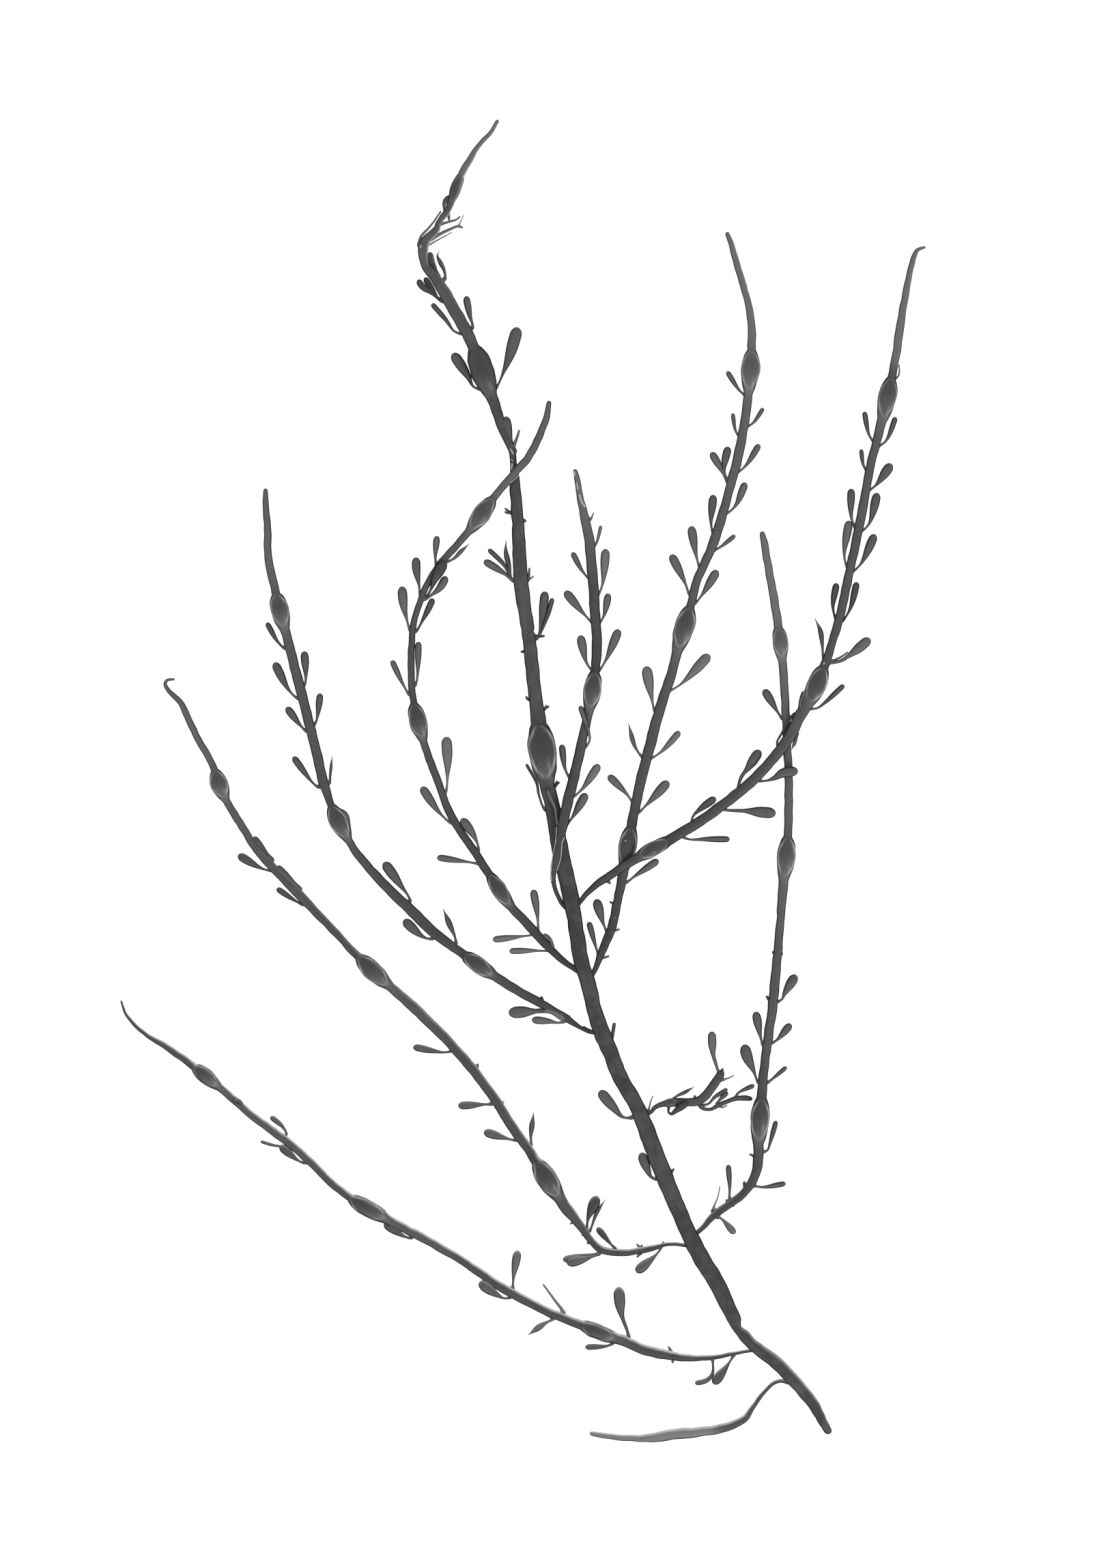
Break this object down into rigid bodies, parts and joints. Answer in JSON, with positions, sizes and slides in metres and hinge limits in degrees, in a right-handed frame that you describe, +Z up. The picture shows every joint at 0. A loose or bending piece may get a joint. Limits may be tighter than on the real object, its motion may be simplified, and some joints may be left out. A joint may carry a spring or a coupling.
{
  "type": "knotted wrack frond",
  "caption": "Frond of knotted wrack lying flat: a forked leathery main stem with egg-shaped air bladders along its straps and paired club-shaped receptacles on short stalks.",
  "frame": {"origin": "centre of the frond's outline, on the surface that it lies on", "axes": "+Z up from the surface; +Y from the cut base of the main stem towards its tip; +X to the right, seen from above"},
  "size_m": [0.3547, 0.5821, 0.0108],
  "materials": {
    "stem_tissue": "leathery, satin, dark grey as in the monochrome photo",
    "strap_tissue": "leathery, satin, mid to dark grey with paler thin tips"
  },
  "bodies": {
    "root": {"main_stem": "stem_tissue", "lowest_bare_branch": "strap_tissue", "low_left_branch": "strap_tissue", "second_left_branch": "strap_tissue", "low_right_branch": "strap_tissue", "broken_right_branch": "strap_tissue", "third_left_branch": "strap_tissue", "fourth_left_branch": "strap_tissue", "mid_right_branch": "strap_tissue", "upper_right_branch": "strap_tissue", "upper_inner_branch": "strap_tissue"}
  },
  "joints": []
}
